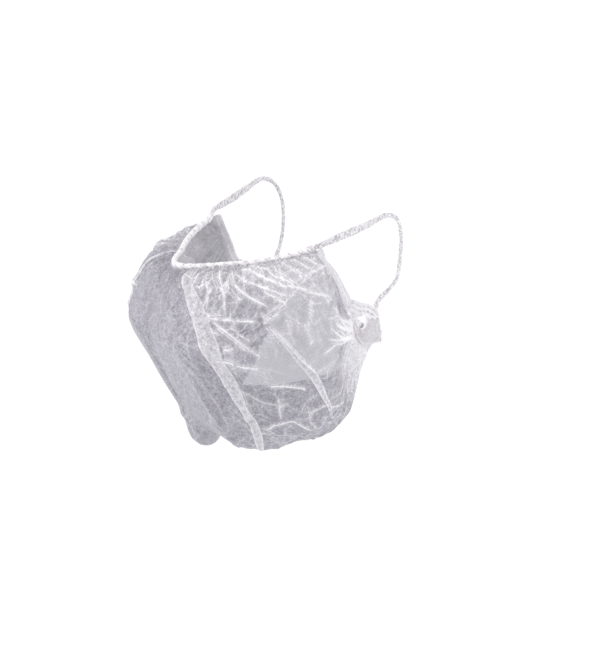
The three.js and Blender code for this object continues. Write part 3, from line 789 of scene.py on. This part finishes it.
# The left half of each route, from the middle: the point, and the way of the roll's width
TOP_ROUTE_HALF = [
    (0, -118.5, -30.1, 0, 0.63, 0.78), (5.8, -117.2, -29.9, -0.3, 0.6, 0.74),
    (11.4, -113.8, -29.5, -0.51, 0.58, 0.63), (16.6, -109.2, -28.8, -0.65, 0.57, 0.5),
    (21.4, -104.1, -28.1, -0.7, 0.6, 0.39), (26.2, -99.4, -27.3, -0.65, 0.68, 0.34),
    (30.9, -95.3, -26.6, -0.65, 0.69, 0.32), (35.4, -91.3, -25.9, -0.67, 0.68, 0.3),
    (39.6, -87.2, -25.2, -0.7, 0.65, 0.3), (43.7, -82.9, -24.3, -0.75, 0.59, 0.3),
    (47.4, -78.2, -23.2, -0.79, 0.53, 0.31), (51.0, -73.3, -22.1, -0.81, 0.48, 0.33),
    (54.3, -68.1, -20.8, -0.84, 0.41, 0.37), (57.4, -62.6, -19.4, -0.85, 0.32, 0.42),
    (60.0, -56.8, -17.9, -0.83, 0.2, 0.53), (63.9, -51.6, -14.8, -0.23, -0.23, 0.95),
]
BOTTOM_ROUTE_HALF = [
    (0, -84.3, -119.9, 0, -0.14, 0.99), (6.0, -83.5, -119.8, 0.01, -0.12, 0.99),
    (11.7, -81.4, -119.7, 0, -0.07, 1), (17.0, -78.3, -119.4, -0.04, -0.03, 1),
    (21.9, -74.7, -119.0, -0.08, -0.01, 1), (26.6, -70.8, -118.5, -0.12, 0, 0.99),
    (31.2, -66.5, -118.0, -0.12, 0, 0.99), (35.5, -61.8, -117.3, -0.14, -0.03, 0.99),
    (39.6, -56.6, -116.5, -0.15, -0.08, 0.99), (43.3, -50.8, -115.2, -0.17, -0.13, 0.98),
    (46.8, -44.2, -113.7, -0.15, -0.13, 0.98), (49.7, -37.0, -112.4, -0.14, -0.14, 0.98),
    (52.1, -29.2, -110.7, -0.17, -0.21, 0.96), (53.8, -20.8, -108.0, -0.2, -0.31, 0.93),
    (54.7, -11.8, -104.1, -0.37, -0.51, 0.78), (56.3, -6.4, -98.9, -0.4, -0.4, 0.7),
]


def mirrored(route):
    """The same route on the right side."""
    return [(-x, y, z, -a, b, c) for x, y, z, a, b, c in route]


def whole(half):
    """A route from the right end to the left end, from its left half."""
    return mirrored(half[:0:-1]) + half


HEM_WIDTH, HEM_THICKNESS, HEM_STEP, HEM_SIDES = 4.4, 3.7, 0.35, 16
PUCKER_PITCH, PUCKER_DEPTH = 2.1, 0.17
# Scrunched cloth: nearly opaque, with a painted highlight on the top of each pucker and painted shade in the
# pit beside it
hem_finish = gathered_spunbond("spunbond gathered on elastic", "#C6C0C6", "#FAF8F9", 0.92)
for name, half, node, seed in (
    ("top_hem", TOP_ROUTE_HALF, "upper_hem", 100),
    ("bottom_hem", BOTTOM_ROUTE_HALF, "lower_hem", 200),
):
    pinched = puckers(PUCKER_PITCH, PUCKER_DEPTH, seed)
    hem = swept(name, whole(half), HEM_WIDTH, HEM_THICKNESS, HEM_STEP, HEM_SIDES, pinched)
    hem.data.materials.append(hem_finish)
    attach(hem, "root")
    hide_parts(node)

# %% [markdown]
# ## Rear bands
#
# At each rear edge the cloth is turned back on itself several times and held flat. It is smooth, with a
# clean outer edge and a few long streaks where one layer ends over another, so its section has long ridges
# that drift slowly instead of puckers.

# %% Rear bands
REAR_ROUTE = [
    (64.2, -47.6, -16.6, -0.37, 0.85, 0.37),
    (64.6, -45.8, -19.6, -0.37, 0.85, 0.37), (65.3, -43.1, -25.6, -0.69, 0.69, 0.2),
    (66.8, -40.5, -29.5, -0.65, 0.72, 0.25), (68.1, -38.1, -33.1, -0.58, 0.76, 0.29),
    (68.9, -35.9, -37.1, -0.55, 0.78, 0.29), (69.6, -34.1, -40.8, -0.5, 0.81, 0.3),
    (70.1, -32.7, -44.2, -0.45, 0.85, 0.27), (70.5, -31.6, -46.9, -0.37, 0.87, 0.32),
    (70.8, -30.4, -49.5, -0.28, 0.87, 0.39), (71.0, -29.1, -52.1, -0.24, 0.87, 0.44),
    (70.9, -27.8, -54.4, -0.22, 0.8, 0.56), (70.9, -26.4, -56.4, -0.22, 0.8, 0.56),
]


def drawn_in(route, shift):
    """The same route, moved by shift towards the cloth."""
    return [(x - a * shift, y - b * shift, z - c * shift, a, b, c) for x, y, z, a, b, c in route]


def layers(seed):
    """Long ridges along a flat band."""

    def shape(distance, angle, length):
        drift = wandering(distance.ravel(), seed, 45).reshape(distance.shape)
        ridge = np.sin(5 * angle + 1.3 * drift) * 0.6 + np.sin(9 * angle - 1.1 * drift) * 0.4
        fine = wandering(distance.ravel(), seed + 1, 8).reshape(distance.shape)
        # the outer rim is painted pale: a painted highlight where the rim faces away from the key light
        edge = np.exp(-((angle - 0.25) ** 2) / 0.08) + np.exp(-((angle - 6.03) ** 2) / 0.08)
        crease_and_painted_light = np.clip(0.2 + 0.55 * np.maximum(ridge, 0) ** 3 + 0.9 * edge, 0, 1)
        return 0.93 + 0.06 * ridge + 0.02 * fine, crease_and_painted_light

    return shape


BAND_WIDTH, BAND_THICKNESS, BAND_STEP, BAND_SIDES, BAND_SHIFT = 8.8, 2.2, 0.5, 44, 0.9
# Flat layers: smooth and pale, and a little light still comes through, so the edge of each layer shows. The
# outer rim is painted paler still, a painted highlight
band_finish = gathered_spunbond("spunbond in flat layers", "#DBD7DD", "#FDFCFD", 0.76)
for name, route, node, seed in (
    ("rear_band_left", REAR_ROUTE, "rear_hem_left", 300),
    ("rear_band_right", mirrored(REAR_ROUTE), "rear_hem_right", 400),
):
    inner = drawn_in(route, BAND_SHIFT)
    band = swept(name, inner, BAND_WIDTH, BAND_THICKNESS, BAND_STEP, BAND_SIDES, layers(seed))
    band.data.materials.append(band_finish)
    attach(band, "root")
    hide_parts(node)

# %% [markdown]
# ## Corner tabs
#
# Behind each lower corner the bunched end of the sheet is pressed flat and welded to the strap, then cut
# with a serrated blade. The outline and its small three-sided hole are the frame's, so the piece starts
# from a copy of the CAD plate, remeshed finely, and the bunched layers are raised as streaks: they sweep
# round the upper lobe and enter the tab from the pouch. A plate sculpted by hand would look as good, but
# its hole and outline would drift from the frame's.

# %% Corner tabs
# The plate's own corner and ways: u runs back, v down and n out of its face
TAB_ORIGIN = np.array([71.78, -27.37, -54.62])
TAB_BACK = np.array([-0.2456, 0.9694, 0])
TAB_DOWN = np.array([0.0352, 0.0089, -0.9993])
TAB_OUT = np.array([0.9687, 0.2455, 0.0363])
# The outline as (u, v), and which runs of it are the rim of the upper lobe and the edge in the cloth
TAB_OUTLINE = np.array([
    (-2.7, 1.8), (2.7, -1.8), (6.4, 0), (12.2, 2.4), (18.9, 4.8), (24.3, 7.5), (28.5, 10.5), (30.1, 15.6),
    (31.2, 21.3), (32, 27), (32, 34), (21.1, 34), (13.4, 32.3), (8.3, 25.8), (5.8, 15.3), (3.2, 8.5),
])
LOBE_RIM, CLOTH_EDGE = TAB_OUTLINE[1:8], TAB_OUTLINE[[11, 12, 13, 14, 15, 0]]
HOLE_MIDDLE = np.array([12.7, 14.3])
# How far the hole is pulled open, and how far the tab's front edge sinks into the cloth
HOLE_SPREAD, TAB_SINK = 2.1, 2.2
# The cut end, its teeth and how far its rim is frayed
CUT_END, TOOTH_PITCH, TOOTH_DEPTH, FRAY = 31.5, 2.4, 0.8, 0.5
VOXEL = 0.42


def edge_distance(flat, outline, closed=True):
    """How far each point lies from an outline, or from an open run of it."""
    away = np.full(len(flat), 1e9)
    ends = np.roll(outline, -1, axis=0) if closed else outline[1:]
    for start, finish in zip(outline, ends):
        away = np.minimum(away, distance_to_line(flat, start, finish)[0])
    return away


def remeshed_plate(name, node):
    """A copy of a CAD tab's plate, merged and remeshed finely enough to carry the bunched layers."""
    plate = bpy.data.objects.new(name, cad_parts[node].data.copy())
    plate.data.materials.clear()
    bpy.context.collection.objects.link(plate)
    shell = bmesh.new()
    shell.from_mesh(plate.data)
    bmesh.ops.remove_doubles(shell, verts=shell.verts, dist=0.01 * MM)
    shell.to_mesh(plate.data)
    shell.free()
    remesh = plate.modifiers.new("fine", "REMESH")
    remesh.mode = "VOXEL"
    remesh.voxel_size = VOXEL * MM
    graph = bpy.context.evaluated_depsgraph_get()
    mesh = bpy.data.meshes.new_from_object(plate.evaluated_get(graph))
    plate.modifiers.clear()
    plate.data = mesh
    mesh.name = name
    return plate


def pulled_open(u, v, seed):
    """The plate's points moved in its plane. Gives them with their turn round the hole and reach from it."""
    # the cut rim is frayed, so it wanders in and out
    outwards = unit(np.stack([u - 17, v - 18], axis=1))
    at_rim = np.exp(-edge_distance(np.stack([u, v], axis=1), TAB_OUTLINE))
    fray = FRAY * wandering(1.7 * u + 1.1 * v, seed + 6, 5.3) * at_rim
    u, v = u + fray * outwards[:, 0], v + fray * outwards[:, 1]
    # the blade's teeth along the cut end, a little larger than the real ones so that they show
    teeth = 2 * np.abs((2 * v / TOOTH_PITCH) % 2 - 1) - 1
    u = u + TOOTH_DEPTH * teeth * np.exp(-np.abs(u - CUT_END) / 1.2) * (v > 13) * (v < 29)
    # the hole in the cloth is pulled open to a larger triangle than the plate's, with its point down
    turn = np.arctan2(v - HOLE_MIDDLE[1], u - HOLE_MIDDLE[0])
    reach = np.linalg.norm(np.stack([u, v], axis=1) - HOLE_MIDDLE, axis=1)
    pull = HOLE_SPREAD * (1 + 0.4 * np.cos(3 * (turn - np.pi / 2))) * np.exp(-(((reach - 1.5) / 3.6) ** 2))
    near_hole = np.exp(-((reach / 6) ** 2))
    u, v = u + pull * np.cos(turn) - 0.7 * near_hole, v + pull * np.sin(turn) + 1.2 * near_hole
    return u, v, turn, reach


def make_tab(name, node, mirror, seed):
    """The plate of a CAD tab, raised into bunched layers."""
    tab = remeshed_plate(name, node)
    mesh = tab.data
    spots = np.empty(len(mesh.vertices) * 3)
    mesh.vertices.foreach_get("co", spots)
    side = np.array([-1, 1, 1]) if mirror else np.ones(3)
    local = spots.reshape(-1, 3) / MM * side - TAB_ORIGIN
    n = local @ TAB_OUT
    u, v, turn, reach = pulled_open(local @ TAB_BACK, local @ TAB_DOWN, seed)
    flat = np.stack([u, v], axis=1)
    away = edge_distance(flat, TAB_OUTLINE)
    from_cloth = edge_distance(flat, CLOTH_EDGE, closed=False)
    round_hole = np.linalg.norm(flat - HOLE_MIDDLE, axis=1)
    wander = wandering(u + 0.6 * v, seed, 29)
    # the upper lobe lies over the flap, and its lower edge is cut in a zigzag
    zigzag = np.abs((u / 2.4) % 2 - 1)
    lobe_edge = np.where(u > 14, 12.6 + 0.2 * (u - 14) + 1.6 * zigzag, 11.9 + 0.12 * (14 - u) + 0.5 * zigzag)
    over_edge = lobe_edge - v
    upper = 1 / (1 + np.exp(-over_edge / 0.35))
    # layers sweep round the lobe, fan from the hole, and enter from the pouch
    drift = wandering(u + 0.5 * v, seed + 8, 16)
    below_top = edge_distance(flat, LOBE_RIM, closed=False)
    sweeps = np.sin(2 * np.pi * below_top / 3.1 + 1.5 * wander + 0.35 * drift - 0.6) * (0.8 + 0.3 * drift)
    rays = np.sin(11 * turn + 0.3 * round_hole + 2 * wander) * np.exp(-round_hole / 7)
    entering = np.sin(2 * np.pi * (v - 0.35 * u) / 3.3 + 1.4 * wander) * np.clip((9 - u) / 7, 0, 1)
    ripple = wandering(0.8 * u + 0.5 * v, seed + 1, 13) * 0.5 + wandering(v - 0.3 * u, seed + 2, 9) * 0.4
    relief = 0.8 * sweeps * upper + 0.55 * rays + 0.3 * ripple + 0.7 * entering
    # the plate is thinned to its rim, raised on both sides, and sunk into the cloth at its front
    thin = 0.5 + 0.5 * np.clip(away / 3.0, 0, 1) ** 0.7
    on_face = (np.abs(n) > 0.4) * np.clip(away / 1.2, 0, 1)
    over_flap = 1.05 * upper * (n > 0.4) * np.clip(away / 1.5, 0, 1)
    new_n = n * thin + np.sign(n) * 0.42 * relief * on_face + over_flap
    new_n += 0.5 * wandering(v + 0.4 * u, seed + 3, 38) * np.clip(away / 4, 0, 1)
    new_n -= TAB_SINK * np.exp(-((from_cloth / 4) ** 2))
    local = u[:, None] * TAB_BACK + v[:, None] * TAB_DOWN + new_n[:, None] * TAB_OUT
    mesh.vertices.foreach_set("co", ((local + TAB_ORIGIN) * side * MM).ravel())
    # what is pale: the tops of the layers, as a painted highlight; the lobe, with painted shade in its grooves;
    # its edge; the cut rim; and the rim of the hole, painted light where its wall lies in shade
    cut_rim = 0.8 * np.exp(-((away / 0.9) ** 2)) * (1 - 0.7 * np.exp(-((from_cloth / 3) ** 2)))
    pale = [
        0.85 * np.clip(relief, 0, 1) ** 1.5,
        0.42 * upper * (1 - np.clip(-1.4 * relief - 0.1, 0, 1)),
        0.9 * np.exp(-(((over_edge - 0.5) / 0.6) ** 2)) * (away > 0.8),
        cut_rim * (1 - 0.8 * np.clip((u - 26) / 4, 0, 1)),
        0.85 * np.exp(-((np.clip(reach - 2.6, 0, None) / 1.3) ** 2)),
    ]
    line = np.max(pale, axis=0).astype(np.float32)
    mesh.attributes.new("crease_and_painted_light", "FLOAT", "POINT").data.foreach_set("value", line)
    for polygon in mesh.polygons:
        polygon.use_smooth = True
    mesh.update()
    print(name, len(mesh.polygons), "faces")
    return tab


# Layers welded by heat: matt and close to opaque, with a painted highlight along the top of each layer and
# painted light round the hole
weld_finish = gathered_spunbond("spunbond welded in layers", "#CCC7CC", "#FCFAFB", 0.86)
for name, node, mirror, seed in (
    ("gathered_corner_left", "corner_tab_left", False, 500),
    ("gathered_corner_right", "corner_tab_right", True, 600),
):
    tab = make_tab(name, node, mirror, seed)
    tab.data.materials.append(weld_finish)
    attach(tab, "root")
    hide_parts(node)

# %% [markdown]
# ## Straps
#
# Each strap is elastic inside a strip of the same nonwoven. The elastic draws the strip up into a crisp
# crepe of small bumps and pits, with scalloped edges. A tiled bump would repeat, so three crossing waves
# with a wandering phase move the points themselves, and the bumps never line up.

# %% Straps
STRAP_ROUTE = [
    (64.1, -51.4, -14.7, 0, -0.33, 0.74), (66.9, -48.1, -13.2, 0, -0.33, 0.83),
    (68.1, -44.0, -11.8, 0, -0.29, 0.95), (68.6, -39.7, -10.5, 0, -0.28, 0.96),
    (69.1, -35.4, -9.2, 0, -0.29, 0.95), (70.0, -31.1, -7.9, 0, -0.3, 0.93),
    (71.0, -26.9, -6.5, 0, -0.31, 0.92), (72.1, -22.8, -5.1, 0, -0.31, 0.92),
    (73.1, -18.6, -3.7, 0, -0.31, 0.92), (74.0, -14.4, -2.2, 0, -0.34, 0.92),
    (74.8, -10.3, -0.5, 0, -0.4, 0.9), (75.4, -6.1, 1.2, 0, -0.36, 0.92),
    (75.9, -1.8, 2.5, 0, -0.15, 0.99), (75.9, 2.7, 2.2, 0, 0.25, 0.97),
    (75.3, 6.8, 0.4, 0, 0.53, 0.83), (74.6, 10.1, -2.6, 0, 0.78, 0.6),
    (73.7, 12.2, -6.4, 0, 0.9, 0.39), (72.9, 13.7, -10.6, 0, 0.95, 0.27),
    (72.3, 14.7, -15.0, 0, 0.98, 0.15), (71.8, 15.2, -19.5, 0, 0.99, 0.05),
    (71.4, 15.2, -24.0, 0, 1.0, -0.02), (71.1, 15.0, -28.5, 0, 1.0, -0.07),
    (70.9, 14.7, -33.0, 0, 1.0, -0.09), (70.9, 14.1, -37.5, 0, 0.99, -0.16),
    (70.7, 13.1, -41.9, 0, 0.96, -0.28), (70.1, 11.5, -46.1, 0, 0.87, -0.44),
    (68.7, 9.2, -49.8, 0, 0.76, -0.55), (67.2, 6.6, -53.1, 0, 0.72, -0.6),
    (65.6, 3.8, -56.3, 0, 0.72, -0.62), (64.7, 1.0, -59.7, 0, 0.81, -0.58),
    (65.6, -1.5, -63.4, 0, 0.81, -0.56),
]
# How wide the strap is drawn at shares of its length: widest beside the top hem, narrow over the bend
DRAWN_WIDTH = (
    [0, 0.06, 0.14, 0.24, 0.36, 0.48, 0.62, 0.85, 1],
    [0.75, 0.85, 1.12, 1.12, 0.82, 0.6, 0.62, 0.7, 0.95],
)


def crepe(seed):
    """Small bumps and pits over a narrow strap."""

    def shape(distance, angle, length):
        d, a = distance.ravel(), angle.ravel()
        wander = wandering(d, seed, 17) * 0.9 + wandering(d + np.cos(a), seed + 7, 4.3) * 0.35
        sway = wandering(d + 1.5 * np.sin(a), seed + 4, 5.3)
        one = np.sin(2 * np.pi * (d / 1.55 + wander) + 2.6 * np.sin(a + seed) + 1.2 * sway)
        two = np.sin(2 * np.pi * (d / 2.3 - wander) - 2.9 * np.cos(2 * a) + seed)
        three = np.sin(2 * np.pi * d / 3.7 + 3 * a + 2 * sway)
        bump = 0.42 * one + 0.36 * two + 0.3 * three
        swell = 0.07 * wandering(d, seed + 1, 12)
        share = smooth(*DRAWN_WIDTH, d / length) * (0.93 + 0.12 * bump + swell)
        # the bumps are painted white, a painted highlight, and the pits grey, painted shade
        return share.reshape(distance.shape), np.clip(0.5 + 0.75 * bump, 0, 1).reshape(distance.shape)

    return shape


STRAP_WIDTH, STRAP_THICKNESS, STRAP_STEP, STRAP_SIDES = 5.3, 2.2, 0.32, 24
# Crepe over elastic: opaque, with a painted highlight on its bumps and painted shade in its pits, which gives
# it a speckled look
strap_finish = gathered_spunbond("spunbond over elastic", "#AFA7AD", "#F8F6F7", 0.93)
for name, route, node, seed in (
    ("ear_strap_left", STRAP_ROUTE, "ear_loop_left", 700),
    ("ear_strap_right", mirrored(STRAP_ROUTE), "ear_loop_right", 800),
):
    strap = swept(name, route, STRAP_WIDTH, STRAP_THICKNESS, STRAP_STEP, STRAP_SIDES, crepe(seed))
    strap.data.materials.append(strap_finish)
    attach(strap, "root")
    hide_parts(node)
